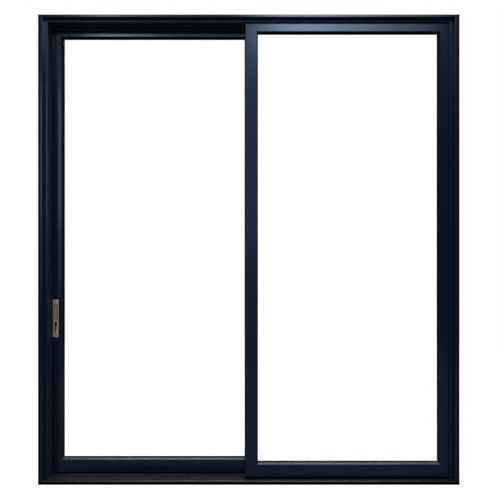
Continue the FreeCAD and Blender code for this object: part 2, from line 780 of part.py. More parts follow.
def lever_recess(body):
    """An oblong recess with round ends, and the bore across it that holds the lever's pivot."""
    half_width = "dim.recess_width / 2"
    reach = "(dim.recess_height - dim.recess_width) / 2"
    low, high = f"place.recess_z - {reach}", f"place.recess_z + {reach}"
    middle = new_sketch(body, "XZ_Plane", "dim.pull_proud")
    draw_rectangle(middle, f"-{half_width}", low, half_width, high)
    pocket(body, middle, "dim.recess_depth")
    for height in (low, high):
        end = new_sketch(body, "XZ_Plane", "dim.pull_proud")
        draw_circle(end, "0", height, half_width)
        pocket(body, end, "dim.recess_depth")
    bore = new_sketch(body, "YZ_Plane")
    draw_circle(bore, "dim.pivot_depth - dim.pull_proud", "place.recess_z",
                "dim.pivot_radius + dim.pivot_clearance")
    pocket(body, bore, "dim.recess_width + 2 * dim.pivot_grip", symmetric=True)


def lock_lever():
    """The lever in the recess: round boss, tapered arm that stands out at its tip, pivot pin."""
    body = new_body("lock_lever")
    boss = new_sketch(body, "YZ_Plane")
    draw_circle(boss, "0", "0", "dim.lever_boss")
    pad(body, boss, "dim.lever_width", symmetric=True)
    arm = new_sketch(body, "YZ_Plane")
    lean = "sin(dim.lever_tilt)"
    drop = "cos(dim.lever_tilt)"

    def along(distance, sideways):
        return (f"-({distance}) * {lean} - ({sideways}) * {drop}",
                f"-({distance}) * {drop} + ({sideways}) * {lean}")

    draw_loop(arm, [
        along("0", "-dim.lever_boss * 0.75"), along("dim.lever_length", "-dim.lever_tip"),
        along("dim.lever_length", "dim.lever_tip"), along("0", "dim.lever_boss * 0.75")])
    pad(body, arm, "dim.lever_width", symmetric=True)
    tip = new_sketch(body, "YZ_Plane")
    draw_circle(tip, *along("dim.lever_length", "0"), "dim.lever_tip")
    pad(body, tip, "dim.lever_width", symmetric=True)
    pin = new_sketch(body, "YZ_Plane")
    draw_circle(pin, "0", "0", "dim.pivot_radius")
    pad(body, pin, "dim.recess_width + 2 * dim.pivot_grip", symmetric=True)
    return move(body, "place.pull_x", "place.slider_face - dim.pull_proud + dim.pivot_depth", "place.lever_z")


def lock_plate(label, x):
    """A steel plate with a slot for the lock's bolt, its outer face at x."""
    body = new_body(label)
    plate = new_sketch(body, "YZ_Plane")
    draw_rectangle(plate, "-dim.lock_plate_width / 2", "-dim.lock_plate_height / 2",
                   "dim.lock_plate_width / 2", "dim.lock_plate_height / 2")
    draw_rectangle(plate, "-dim.lock_slot_width / 2", "-dim.lock_slot_height / 2",
                   "dim.lock_slot_width / 2", "dim.lock_slot_height / 2")
    pad(body, plate, "dim.lock_plate_thick")
    return move(body, x, "place.slider_middle", "dim.pull_centre")


def lock():
    """The two pulls, the lever in the outer one, and the plate on the panel's edge."""
    outer = pull_plate("pull_plate_outer")
    finger_well(outer, "dim.pull_height / 2 - dim.well_margin - dim.well_height", "dim.well_height")
    lever_recess(outer)
    keep(move(outer, "place.pull_x", "place.slider_face", "dim.pull_centre"))
    inner = pull_plate("pull_plate_inner")
    finger_well(inner, "-dim.pull_height / 2 + dim.recess_margin",
                "dim.pull_height - dim.recess_margin - dim.well_margin")
    inner.Placement.Rotation = FreeCAD.Rotation(FreeCAD.Vector(0, 0, 1), 180)
    keep(move(inner, "place.pull_x", "place.slider_face + dim.panel_thick", "dim.pull_centre"))
    keep(lock_plate("lock_faceplate", "-place.edge - dim.lock_plate_thick"))
    keep(lock_lever())


def check_and_write():
    """Stop if anything failed to rebuild, then write one file for each node."""
    doc.recompute()
    for thing in doc.Objects:
        if {"Invalid", "Error"} & set(thing.State):
            raise RuntimeError(f"{thing.Name} did not rebuild: {thing.State}")
    for node in nodes:
        if node.Shape.isNull() or not node.Shape.isValid():
            raise RuntimeError(f"{node.Label} is not a valid shape")
    os.makedirs("parts", exist_ok=True)
    for node in nodes:
        node.Shape.exportStep(f"parts/{node.Label}.step")
        print(node.Label, len(node.Shape.Solids), round(node.Shape.Volume))


write_sizes()
for piece in (head(), sill(), jamb("left_jamb", "-1"), jamb("right_jamb", "1"), sill_tread(),
              jamb_filler(), head_filler(), roller_rail(), lock_plate("strike_plate", "-place.web"),
              travel_stop()):
    keep(piece)
fixed_panel()
sliding_panel()
lock()
check_and_write()
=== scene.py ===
# %% [markdown]
# # A sliding patio door in aluminium and glass
#
# The door is an assembly: an outer frame of extruded aluminium, a fixed panel in the outer
# track on the right, and a panel on rollers in the inner track on the left. The solids come
# from the CAD model, so this lesson gives them their finishes, adds the small trim that a
# CAD model leaves out, and sets up a studio in which the dark frame reads against white.

# %% Load the solids
import json
import math
import random

import bmesh
import bpy
from mathutils import Matrix, Vector


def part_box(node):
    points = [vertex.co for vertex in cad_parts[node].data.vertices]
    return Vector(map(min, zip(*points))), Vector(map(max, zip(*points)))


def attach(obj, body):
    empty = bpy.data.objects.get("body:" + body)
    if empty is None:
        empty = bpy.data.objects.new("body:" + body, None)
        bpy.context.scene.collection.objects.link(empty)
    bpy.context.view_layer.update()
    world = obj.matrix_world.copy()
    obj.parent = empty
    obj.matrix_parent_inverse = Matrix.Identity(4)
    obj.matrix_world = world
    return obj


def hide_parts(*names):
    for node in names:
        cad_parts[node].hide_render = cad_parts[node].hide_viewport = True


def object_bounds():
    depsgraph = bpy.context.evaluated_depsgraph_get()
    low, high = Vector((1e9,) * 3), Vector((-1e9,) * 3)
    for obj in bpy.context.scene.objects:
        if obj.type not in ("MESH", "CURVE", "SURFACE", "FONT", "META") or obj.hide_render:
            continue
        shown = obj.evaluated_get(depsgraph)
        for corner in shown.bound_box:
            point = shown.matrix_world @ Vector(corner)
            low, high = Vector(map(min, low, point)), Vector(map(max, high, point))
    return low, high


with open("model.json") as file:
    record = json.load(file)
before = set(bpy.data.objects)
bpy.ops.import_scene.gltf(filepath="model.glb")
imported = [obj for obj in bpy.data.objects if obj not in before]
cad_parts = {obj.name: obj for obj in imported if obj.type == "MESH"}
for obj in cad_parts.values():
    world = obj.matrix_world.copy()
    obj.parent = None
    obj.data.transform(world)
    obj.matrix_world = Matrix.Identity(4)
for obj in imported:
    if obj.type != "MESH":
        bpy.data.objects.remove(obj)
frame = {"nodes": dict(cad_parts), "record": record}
nodes = frame["nodes"]
cad_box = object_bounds()
MM = 0.001
print("loaded", len(nodes), "nodes,", [round(x, 3) for x in cad_box[1] - cad_box[0]], "m")

# %% [markdown]
# ## The camera
#
# The picture is taken square on, from about two and a half metres, with the optical axis a
# touch left of the middle and just below half height. Verticals stay vertical, so the
# camera isn't tilted: a small shift moves the frame instead. The lens follows from the
# distance and from how many metres of the door's front one picture width covers.

# %% Camera
FRONT = cad_box[0].y
CAMERA_DISTANCE = 2.43
CAMERA_X, CAMERA_Z = -0.0161, 0.9772
SHIFT_X, SHIFT_Y = 0.010, 0.0145
PICTURE_WIDTH = 2.1464
SENSOR = 36

camera_data = bpy.data.cameras.new("camera")
camera_data.sensor_width = SENSOR
camera_data.lens = SENSOR * CAMERA_DISTANCE / PICTURE_WIDTH
camera_data.shift_x, camera_data.shift_y = SHIFT_X, SHIFT_Y
camera = bpy.data.objects.new("camera", camera_data)
camera.location = (CAMERA_X, FRONT - CAMERA_DISTANCE, CAMERA_Z)
camera.rotation_euler = (math.pi / 2, 0, 0)
bpy.context.scene.collection.objects.link(camera)
bpy.context.scene.camera = camera
bpy.context.scene.view_settings.view_transform = "Standard"
print("lens", round(camera_data.lens, 2), "mm")

# %% [markdown]
# ## Helpers for nodes and colours
#
# Every finish below is a small node tree. One function adds a node with its settings and
# its links, and another turns the hex colour that an eye or a swatch book gives into the
# linear light that a shader works with. Pattern scales come from real millimetres. A Mix node
# keeps sockets for numbers, vectors and colours in one row, so those for colours are reached
# by their places in that row.

# %% Helpers
FACTOR, FIRST, SECOND, MIXED = 0, 6, 7, 2


def linear(code):
    """The linear colour of an sRGB hex code."""
    parts = [int(code[i:i + 2], 16) / 255 for i in (1, 3, 5)]
    light = [c / 12.92 if c <= 0.04045 else ((c + 0.055) / 1.055) ** 2.4 for c in parts]
    return (*light, 1.0)


def add_node(tree, kind, settings=(), links=()):
    """A node with its settings, which are properties or socket values, and its links."""
    node = tree.nodes.new(kind)
    for name, value in dict(settings).items():
        if isinstance(name, str) and hasattr(node, name):
            setattr(node, name, value)
        else:
            node.inputs[name].default_value = value
    for name, source in dict(links).items():
        tree.links.new(source, node.inputs[name])
    return node


def per_metre(millimetres):
    """The scale of a pattern whose features are that far apart."""
    return 1 / (millimetres * MM)


WHITE, BLACK = linear("#FFFFFF"), linear("#000000")
NAVY = "#101A2D"
print("navy in linear light", [round(c, 4) for c in linear(NAVY)])

# %% [markdown]
# ## The studio
#
# A dark satin frame is a dim mirror: what the eye reads on it is the room around it. So the
# room stays dark in reflections, and the lamps alone draw the highlights. To the lens, and
# through the panes, the world is plain white. Light Path tells the two apart: a camera ray
# gets the white backdrop, and so does a sight line that has only passed through panes; a
# glossy ray gets the dark room, and a diffuse ray a little fill.

# %% World
BACKDROP = 1.0
DARK_ROOM = 0.02
DIM_STUDIO = 0.15
# The four faces of a sealed unit reflect a seventh of the light, so white seen through it
# starts higher, with a little to spare
THROUGH_PANES = 1.25


def sight_line(tree, path):
    """One for a ray that came straight from the lens through glass, zero for any other."""
    bounces = add_node(tree, "ShaderNodeMath", {"operation": "ADD"},
                       {0: path.outputs["Diffuse Depth"], 1: path.outputs["Glossy Depth"]})
    straight = add_node(tree, "ShaderNodeMath", {"operation": "LESS_THAN", 1: 0.5},
                        {0: bounces.outputs[0]})
    through = add_node(tree, "ShaderNodeMath", {"operation": "MULTIPLY"},
                       {0: straight.outputs[0], 1: path.outputs["Is Transmission Ray"]})
    return through.outputs[0]


world = bpy.data.worlds.new("studio")
bpy.context.scene.world = world
world.use_nodes = True
tree = world.node_tree
tree.nodes.clear()
path = add_node(tree, "ShaderNodeLightPath")
mirrored = add_node(tree, "ShaderNodeMix",
                    {"data_type": "FLOAT", "A": DIM_STUDIO, "B": DARK_ROOM},
                    {"Factor": path.outputs["Is Glossy Ray"]})
seen = add_node(tree, "ShaderNodeMix", {"data_type": "FLOAT", "B": BACKDROP},
                {"Factor": path.outputs["Is Camera Ray"], "A": mirrored.outputs["Result"]})
level = add_node(tree, "ShaderNodeMix", {"data_type": "FLOAT", "B": THROUGH_PANES},
                 {"Factor": sight_line(tree, path), "A": seen.outputs["Result"]})
background = add_node(tree, "ShaderNodeBackground", {"Color": WHITE},
                      {"Strength": level.outputs["Result"]})
add_node(tree, "ShaderNodeOutputWorld", links={"Surface": background.outputs["Background"]})
print("world: white to the lens, fill", DIM_STUDIO, "and", DARK_ROOM, "in reflections")

# %% [markdown]
# The floor is a disc of matt grey, which takes real shadows and throws little light up at the
# sill. For the lens and through the panes it also glows, so that the open floor is white and
# only the contact shadow is left. Towards its rim the glow rises to the white of the backdrop,
# so the rim doesn't show as a horizon.

# %% Floor
FLOOR_RADIUS = 4.5
FLOOR_SIDES = 96
FLOOR_GREY = linear("#868686")
FLOOR_GLOW = 0.9
FLOOR_THROUGH_PANES = 1.19
OPEN_FLOOR = 2.0

mesh = bpy.data.meshes.new("floor")
shape = bmesh.new()
bmesh.ops.create_circle(shape, cap_ends=True, segments=FLOOR_SIDES, radius=FLOOR_RADIUS)
shape.to_mesh(mesh)
shape.free()
floor = bpy.data.objects.new("floor", mesh)
bpy.context.scene.collection.objects.link(floor)

paint = bpy.data.materials.new("floor_white")
paint.use_nodes = True
tree = paint.node_tree
tree.nodes.clear()
path = add_node(tree, "ShaderNodeLightPath")
where = add_node(tree, "ShaderNodeTexCoord")
away = add_node(tree, "ShaderNodeVectorMath", {"operation": "LENGTH"},
                {0: where.outputs["Object"]})
towards_rim = add_node(tree, "ShaderNodeMapRange",
                       {"From Min": OPEN_FLOOR, "From Max": FLOOR_RADIUS,
                        "To Min": FLOOR_GLOW, "To Max": BACKDROP},
                       {"Value": away.outputs["Value"]})
seen = add_node(tree, "ShaderNodeMath", {"operation": "MULTIPLY"},
                {0: path.outputs["Is Camera Ray"], 1: towards_rim.outputs["Result"]})
glow = add_node(tree, "ShaderNodeMath", {"operation": "MULTIPLY_ADD", 1: FLOOR_THROUGH_PANES},
                {0: sight_line(tree, path), 2: seen.outputs[0]})
matt = add_node(tree, "ShaderNodeBsdfDiffuse", {"Color": FLOOR_GREY})
light = add_node(tree, "ShaderNodeEmission", {"Color": WHITE}, {"Strength": glow.outputs[0]})
both = add_node(tree, "ShaderNodeAddShader", links={0: matt.outputs[0], 1: light.outputs[0]})
add_node(tree, "ShaderNodeOutputMaterial", links={"Surface": both.outputs[0]})
mesh.materials.append(paint)
print("floor", FLOOR_RADIUS, "m")

# %% [markdown]
# ## Soft boxes
#
# Two banks of soft boxes hang high in front of the door. In each bank three boxes stand one
# behind the other, each wider than the last, so that their reflection in a rail is bright in
# the middle and fades to its ends, as a real soft box's does. A tall weak box under each bank,
# and a weaker one at its foot, carry the light down the stiles. One large box overhead lights
# the ledges and the sill, one behind the door is for the side that faces the room, and one at
# each end shows up the plain outer sides of the jambs. Light linking keeps the banks off the
# panes, as a photographer's flags would, so the glass doesn't mirror them.

# %% Lamps
WARM = "#FFF3EA"


def soft_box(name, place, target, width, height, power, colour="#FFFFFF"):
    """A rectangular area lamp at a place, turned to a target."""
    lamp = bpy.data.lights.new(name, "AREA")
    lamp.shape = "RECTANGLE"
    lamp.size, lamp.size_y = width, height
    lamp.energy = power
    lamp.color = linear(colour)[:3]
    box = bpy.data.objects.new(name, lamp)
    aim = (Vector(target) - Vector(place)).to_track_quat("-Z", "Y").to_matrix().to_4x4()
    box.matrix_world = Matrix.Translation(place) @ aim
    bpy.context.scene.collection.objects.link(box)
    print(name, power, "W")
    return box


# Name, place, target, width, height, power and colour of each
front_boxes = [
    soft_box("right_core", (0.62, -4.00, 3.95), (0.4, 0, 1.8), 0.66, 1.1, 12),
    soft_box("right_middle", (0.86, -4.02, 3.95), (0.5, 0, 1.8), 1.30, 1.1, 23),
    soft_box("right_edge", (1.06, -4.04, 3.95), (0.6, 0, 1.8), 2.12, 1.1, 29),
    soft_box("right_low", (0.10, -4.06, 2.20), (0.0, 0, 1.4), 0.80, 2.4, 5.2),
    soft_box("left_core", (-1.56, -4.00, 3.28), (-0.7, 0, 1.9), 0.34, 0.7, 5.5, WARM),
    soft_box("left_middle", (-1.42, -4.02, 3.28), (-0.6, 0, 1.9), 0.74, 0.7, 10.5, WARM),
    soft_box("left_edge", (-1.00, -4.04, 3.28), (-0.4, 0, 1.9), 1.60, 0.7, 9, WARM),
    soft_box("left_low", (-2.13, -4.00, 2.15), (-0.8, 0, 1.5), 0.35, 1.5, 7.0, WARM),
    soft_box("left_foot", (-2.15, -4.00, 1.00), (-0.8, 0, 1.0), 0.45, 0.8, 1.3, WARM),
    soft_box("right_foot", (0.10, -4.06, 0.55), (0.0, 0, 0.6), 0.80, 0.9, 0.8),
]
soft_box("overhead", (0, -0.3, 4.2), (0, -0.3, 0), 3.6, 3.8, 165)
soft_box("room_side", (-0.5, 3.9, 4.9), (-0.2, 0, 1.4), 2.4, 1.2, 80)
soft_box("left_side", (-6.0, 0, 2.6), (-0.9, 0, 1.1), 2.0, 2.4, 14)
soft_box("right_side", (6.0, 0, 2.6), (0.9, 0, 1.1), 2.0, 2.4, 14)

flagged = bpy.data.collections.new("flagged_panes")
for panel in ("fixed", "slider"):
    for pane in ("outer", "inner"):
        flagged.objects.link(nodes[f"{panel}_glass_{pane}"])
for link in flagged.collection_objects:
    link.light_linking.link_state = "EXCLUDE"
for box in front_boxes:
    box.light_linking.receiver_collection = flagged

# %% [markdown]
# ## Dust, painted sheen and a painted shadow line
#
# Two marks are laid on the coats. Faces that look up hold a film of dust, as on a door in use,
# and the same pale tone paints the sheen that those faces catch, which is why the ledges are
# paler than the faces. Round the outside, where the frame met its wall and floor, a thin dull
# black line that mirrors nothing is painted on the front as the shadow of that joint. Each is a
# mask: the dust and sheen follow the height of the normal, and the shadow line follows the place
# on the door.

# %% Masks
PALE_DUST_AND_SHEEN = "#A3A9B4"
GREY_DUST_AND_SHEEN = "#5A5A5C"
SLOPE, LEVEL = 0.3, 0.9
# A painted shadow line along the front's outer sides and foot, where the frame met its wall
SHADOW_LINE_X = cad_box[1].x - 9 * MM
SHADOW_LINE_TOP = 11 * MM
SHADOW_LINE_FADE = 1 * MM
SHADOW_LINE_BACK, SHADOW_LINE_END = FRONT + 8 * MM, FRONT + 12 * MM


def dust_and_sheen_mask(tree, amount):
    """An amount of dust and painted sheen on faces that look up, which fades out on slopes."""
    facing = add_node(tree, "ShaderNodeNewGeometry")
    axes = add_node(tree, "ShaderNodeSeparateXYZ", links={0: facing.outputs["Normal"]})
    upward = add_node(tree, "ShaderNodeMapRange",
                      {"From Min": SLOPE, "From Max": LEVEL, "To Max": amount},
                      {"Value": axes.outputs["Z"]})
    return upward.outputs["Result"]


def shadow_line_mask(tree, place):
    """One on the painted shadow line along the front's sides and foot, and zero elsewhere."""
    outward = add_node(tree, "ShaderNodeMath", {"operation": "ABSOLUTE"},
                       {0: place.outputs["X"]})
    beside = add_node(tree, "ShaderNodeMapRange",
                      {"From Min": SHADOW_LINE_X, "From Max": SHADOW_LINE_X + SHADOW_LINE_FADE},
                      {"Value": outward.outputs[0]})
    below = add_node(tree, "ShaderNodeMapRange",
                     {"From Min": SHADOW_LINE_TOP + SHADOW_LINE_FADE, "From Max": SHADOW_LINE_TOP},
                     {"Value": place.outputs["Z"]})
    around = add_node(tree, "ShaderNodeMath", {"operation": "MAXIMUM"},
                      {0: beside.outputs["Result"], 1: below.outputs["Result"]})
    in_front = add_node(tree, "ShaderNodeMapRange",
                        {"From Min": SHADOW_LINE_END, "From Max": SHADOW_LINE_BACK},
                        {"Value": place.outputs["Y"]})
    line = add_node(tree, "ShaderNodeMath", {"operation": "MULTIPLY"},
                    {0: around.outputs[0], 1: in_front.outputs["Result"]})
    return line.outputs[0]


# The painted shadow line runs from this distance outwards and up to this height
print("sealant from", round(SHADOW_LINE_X, 3), "m outwards and up to", SHADOW_LINE_TOP, "m")

# %% [markdown]
# ## Powder coat
#
# The frame is extruded aluminium with a satin powder coat: a dry powder is charged, sprayed on
# and baked until it flows into a film. That leaves an even dark colour, a dull gloss that drifts
# a little over a length, and a very slight orange peel. Charged powder hardly reaches into a
# groove, so the head's film is thin and dull inside its tracks; and the head's top lies against
# the lintel, so it gets almost no dust or painted sheen. The covers in the empty tracks and the
# beads that hold the glass are duller than the rest, so they get their own coats; the covers'
# coat is also a lighter navy, a painted light that lifts them where they lie in shade.

# %% Coats
COOL_GLOSS = linear("#B5D3FF")
# A black, dull line that mirrors nothing: painted shade where the frame met its wall
SHADOW_LINE_COLOUR, SHADOW_LINE_DULLNESS = "#050506", 0.8
# Sizes in millimetres: orange peel, patches of gloss, clumps of dust and painted sheen
PEEL, GLOSS_PATCH, DUST_AND_SHEEN_CLUMP = 2.5, 220, 14
PEEL_HEIGHT = 0.2 * MM
GLOSSIER, DULLER = 0.01, 0.015
# Most of a noise pattern lies between these two values
NOISE_LOW, NOISE_HIGH = 0.3, 0.7
# A groove that starts this far behind the front is none
NO_GROOVE = 1.0
GROOVE_FADE, GROOVE_DULLNESS = 3 * MM, 0.2


def start_material(name):
    """A named material with its node tree and its shader."""
    made = bpy.data.materials.new(name)
    made.use_nodes = True
    shader = made.node_tree.nodes["Principled BSDF"]
    return made, made.node_tree, shader


def powder_coat(name, colour, roughness, gloss, dust_and_sheen, dust_and_sheen_colour=PALE_DUST_AND_SHEEN, tint=COOL_GLOSS,
                groove=NO_GROOVE):
    """Baked spray film: orange peel, gloss drift, dust and painted sheen, painted shadow line."""
    made, tree, shader = start_material(name)
    where = add_node(tree, "ShaderNodeTexCoord")
    place = add_node(tree, "ShaderNodeSeparateXYZ", links={0: where.outputs["Object"]})
    line = shadow_line_mask(tree, place)

    grains = add_node(tree, "ShaderNodeTexNoise",
                      {"Scale": per_metre(DUST_AND_SHEEN_CLUMP), "Detail": 5.0},
                      {"Vector": where.outputs["Object"]})
    dust_and_sheen_cover = add_node(tree, "ShaderNodeMath", {"operation": "MULTIPLY"},
                     {0: dust_and_sheen_mask(tree, dust_and_sheen), 1: grains.outputs["Fac"]})
    film = add_node(tree, "ShaderNodeMix",
                    {"data_type": "RGBA", FIRST: linear(colour), SECOND: linear(dust_and_sheen_colour)},
                    {FACTOR: dust_and_sheen_cover.outputs[0]})
    film_with_shadow_line = add_node(tree, "ShaderNodeMix", {"data_type": "RGBA", SECOND: linear(SHADOW_LINE_COLOUR)},
                      {FACTOR: line, FIRST: film.outputs[MIXED]})
    tree.links.new(film_with_shadow_line.outputs[MIXED], shader.inputs["Base Color"])

    drift = add_node(tree, "ShaderNodeTexNoise",
                     {"Scale": per_metre(GLOSS_PATCH), "Detail": 3.0},
                     {"Vector": where.outputs["Object"]})
    dullness = add_node(tree, "ShaderNodeMapRange",
                        {"From Min": NOISE_LOW, "From Max": NOISE_HIGH,
                         "To Min": roughness - GLOSSIER, "To Max": roughness + DULLER},
                        {"Value": drift.outputs["Fac"]})
    thin_film = add_node(tree, "ShaderNodeMapRange",
                         {"From Min": FRONT + groove, "From Max": FRONT + groove + GROOVE_FADE,
                          "To Max": GROOVE_DULLNESS},
                         {"Value": place.outputs["Y"]})
    all_dullness = add_node(tree, "ShaderNodeMath", {"operation": "ADD"},
                            {0: dullness.outputs["Result"], 1: thin_film.outputs["Result"]})
    dullness_with_shadow_line = add_node(tree, "ShaderNodeMix",
                               {"data_type": "FLOAT", "B": SHADOW_LINE_DULLNESS},
                               {"Factor": line, "A": all_dullness.outputs[0]})
    tree.links.new(dullness_with_shadow_line.outputs["Result"], shader.inputs["Roughness"])

    # The painted shadow line also takes away the coat's reflection
    gloss_with_shadow_line = add_node(tree, "ShaderNodeMix",
                            {"data_type": "RGBA", FIRST: tint, SECOND: BLACK}, {FACTOR: line})
    tree.links.new(gloss_with_shadow_line.outputs[MIXED], shader.inputs["Specular Tint"])
    shader.inputs["Specular IOR Level"].default_value = gloss

    peel = add_node(tree, "ShaderNodeTexNoise", {"Scale": per_metre(PEEL), "Detail": 1.0},
                    {"Vector": where.outputs["Object"]})
    bump = add_node(tree, "ShaderNodeBump", {"Strength": 0.04, "Distance": PEEL_HEIGHT},
                    {"Height": peel.outputs["Fac"]})
    tree.links.new(bump.outputs["Normal"], shader.inputs["Normal"])
    return made


frame_coat = powder_coat("navy_powder_coat", NAVY, roughness=0.16, gloss=0.39, dust_and_sheen=0.5)
head_coat = powder_coat("navy_head_coat", NAVY, roughness=0.16, gloss=0.39, dust_and_sheen=0.03,
                        groove=12 * MM)
# A lighter navy than the frame's: painted light that lifts the covers where they lie in shade
cover_coat = powder_coat("navy_matt_coat", "#1B202B", roughness=0.62, gloss=0.12, dust_and_sheen=0.35)
bead_coat = powder_coat("navy_bead_coat", "#0A0F18", roughness=0.45, gloss=0.06, dust_and_sheen=0.05)
sill_coat = powder_coat("charcoal_powder_coat", "#0D0D0E", roughness=0.24, gloss=0.30, dust_and_sheen=0.16,
                        dust_and_sheen_colour=GREY_DUST_AND_SHEEN, tint=WHITE)
print("coats", [coat.name for coat in (frame_coat, head_coat, cover_coat, bead_coat, sill_coat)])

# %% [markdown]
# ## Brushed and rolled metals
#
# The track rail is rolled stainless strip, with fine lines along its length. The two lock plates
# are stainless too, brushed upright. The pulls are satin nickel: a casting that is brushed, then
# plated. Their hollows carry painted shade: the cups are a little darker and the deep lever recess
# is nearly black, while the rim stays bright. Real brush lines are about a tenth of a millimetre
# wide, too fine for the picture, so they are drawn several times as coarse.

# %% Metals
# Width and length of a brush line in millimetres
BRUSH_LINE, BRUSH_RUN = 0.6, 40
BRUSH_DEPTH = 0.05 * MM
BRUSH_DRIFT = 0.08
BRUSH_SHADE = 0.86


def brushed_metal(name, colour, roughness, along):
    """Metal with brush lines along one of the axes x, y or z."""
    made, tree, shader = start_material(name)
    where = add_node(tree, "ShaderNodeTexCoord")
    scale = [per_metre(BRUSH_RUN if axis == along else BRUSH_LINE) for axis in "xyz"]
    stretched = add_node(tree, "ShaderNodeMapping", {"Scale": scale},
                         {"Vector": where.outputs["Object"]})
    lines = add_node(tree, "ShaderNodeTexNoise", {"Scale": 1.0, "Detail": 3.0},
                     {"Vector": stretched.outputs["Vector"]})
    dullness = add_node(tree, "ShaderNodeMapRange",
                        {"From Min": NOISE_LOW, "From Max": NOISE_HIGH,
                         "To Min": roughness - BRUSH_DRIFT, "To Max": roughness + BRUSH_DRIFT},
                        {"Value": lines.outputs["Fac"]})
    bump = add_node(tree, "ShaderNodeBump", {"Strength": 0.15, "Distance": BRUSH_DEPTH},
                    {"Height": lines.outputs["Fac"]})
    tone = add_node(tree, "ShaderNodeMapRange",
                    {"From Min": NOISE_LOW, "From Max": NOISE_HIGH,
                     "To Min": BRUSH_SHADE, "To Max": 1.0},
                    {"Value": lines.outputs["Fac"]})
    shade = add_node(tree, "ShaderNodeMix",
                     {"data_type": "RGBA", "blend_type": "MULTIPLY", FACTOR: 1.0,
                      FIRST: linear(colour)},
                     {SECOND: tone.outputs["Result"]})
    tree.links.new(shade.outputs[MIXED], shader.inputs["Base Color"])
    tree.links.new(dullness.outputs["Result"], shader.inputs["Roughness"])
    tree.links.new(bump.outputs["Normal"], shader.inputs["Normal"])
    shader.inputs["Metallic"].default_value = 1.0
    return made, tree, shader, where, shade


rolled_steel = brushed_metal("rolled_stainless_steel", "#B9B6B0", roughness=0.25, along="x")[0]
lock_steel = brushed_metal("brushed_stainless_steel", "#A8A5A0", roughness=0.35, along="z")[0]
print("steels", rolled_steel.name, lock_steel.name)

# %% [markdown]
# The nickel is the same brushed metal with its colour darkened by depth, a painted shade for the
# hollows. Both pulls lie about the middle plane of the sliding panel, so the distance from that
# plane says how deep a point is below a plate's face. Only the lower part of the outer plate holds
# the deep recess, so a height and a side part the two shades. A screw's cross gets the same
# painted shade as the recess.

# %% Satin nickel
pull_low, pull_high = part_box("pull_plate_outer")
inner_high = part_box("pull_plate_inner")[1]
PANEL_MIDDLE = (pull_low.y + inner_high.y) / 2
FACE_OUT = inner_high.y - PANEL_MIDDLE
RECESS_TOP = 0.6925
# Painted shade: the cups' colour is multiplied by the first, the recess's and a cross's by the
# second
CUP_SHADE = 0.62
RECESS_SHADE = 0.08


def nickel_by_depth(name, colour, roughness, deep, shallow, deep_shade):
    """Satin nickel with painted shade, darker from one distance from the panel's middle to
    another.
    """
    made, tree, shader, where, brushed = brushed_metal(name, colour, roughness, "z")
    axes = add_node(tree, "ShaderNodeSeparateXYZ", links={0: where.outputs["Object"]})
    offset = add_node(tree, "ShaderNodeMath", {"operation": "SUBTRACT", 1: PANEL_MIDDLE},
                      {0: axes.outputs["Y"]})
    outward = add_node(tree, "ShaderNodeMath", {"operation": "ABSOLUTE"}, {0: offset.outputs[0]})
    low_part = add_node(tree, "ShaderNodeMath", {"operation": "LESS_THAN", 1: RECESS_TOP},
                        {0: axes.outputs["Z"]})
    outside = add_node(tree, "ShaderNodeMath", {"operation": "LESS_THAN", 1: 0.0},
                       {0: offset.outputs[0]})
    recess = add_node(tree, "ShaderNodeMath", {"operation": "MULTIPLY"},
                      {0: low_part.outputs[0], 1: outside.outputs[0]})
    deepest = add_node(tree, "ShaderNodeMapRange",
                       {"To Min": deep_shade, "To Max": RECESS_SHADE},
                       {"Value": recess.outputs[0]})
    painted_depth_shade = add_node(tree, "ShaderNodeMapRange",
                      {"From Min": deep, "From Max": shallow, "To Max": 1.0},
                      {"Value": outward.outputs[0], "To Min": deepest.outputs["Result"]})
    depth_shaded = add_node(tree, "ShaderNodeMix",
                    {"data_type": "RGBA", "blend_type": "MULTIPLY", FACTOR: 1.0},
                    {FIRST: brushed.outputs[MIXED], SECOND: painted_depth_shade.outputs["Result"]})
    tree.links.new(depth_shaded.outputs[MIXED], shader.inputs["Base Color"])
    return made


nickel = nickel_by_depth("satin_nickel", "#E6DACB", roughness=0.55, deep=FACE_OUT - 6 * MM,
                         shallow=FACE_OUT - 0.8 * MM, deep_shade=CUP_SHADE)
screw_nickel = nickel_by_depth("screw_nickel", "#CFC4B6", roughness=0.45,
                               deep=FACE_OUT + 0.1 * MM, shallow=FACE_OUT + 0.6 * MM,
                               deep_shade=RECESS_SHADE)
print("nickel darkens below a face", round(FACE_OUT / MM, 1), "mm from the panel's middle")

# %% [markdown]
# The lever's tip carries a painted highlight in a very pale nickel, and the rest of the arm a
# painted shade at half that colour.

# %% Lever nickel
lever_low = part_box("lock_lever")[0]
HIGHLIGHT_FROM, HIGHLIGHT_TO = lever_low.z + 13 * MM, lever_low.z + 8 * MM
ARM_SHADE = 0.5

# A very pale nickel for the painted highlight at the tip, halved up the arm as painted shade
lever_nickel, tree, shader, where, brushed = brushed_metal("nickel_with_painted_tip_highlight", "#FBF5EC", 0.42, "z")
axes = add_node(tree, "ShaderNodeSeparateXYZ", links={0: where.outputs["Object"]})
tip_highlight = add_node(tree, "ShaderNodeMapRange",
                  {"From Min": HIGHLIGHT_FROM, "From Max": HIGHLIGHT_TO,
                   "To Min": ARM_SHADE, "To Max": 1.0},
                  {"Value": axes.outputs["Z"]})
highlighted_tip = add_node(tree, "ShaderNodeMix",
                {"data_type": "RGBA", "blend_type": "MULTIPLY", FACTOR: 1.0},
                {FIRST: brushed.outputs[MIXED], SECOND: tip_highlight.outputs["Result"]})
tree.links.new(highlighted_tip.outputs[MIXED], shader.inputs["Base Color"])
print("lever tip at", round(lever_low.z, 4), "m")

# %% [markdown]
# ## Zinc plate
#
# The roller housings are pressed steel with a bright zinc plate, which dries in small cloudy
# patches. A Voronoi pattern of five-millimetre cells gives those, each a little lighter or
# darker.

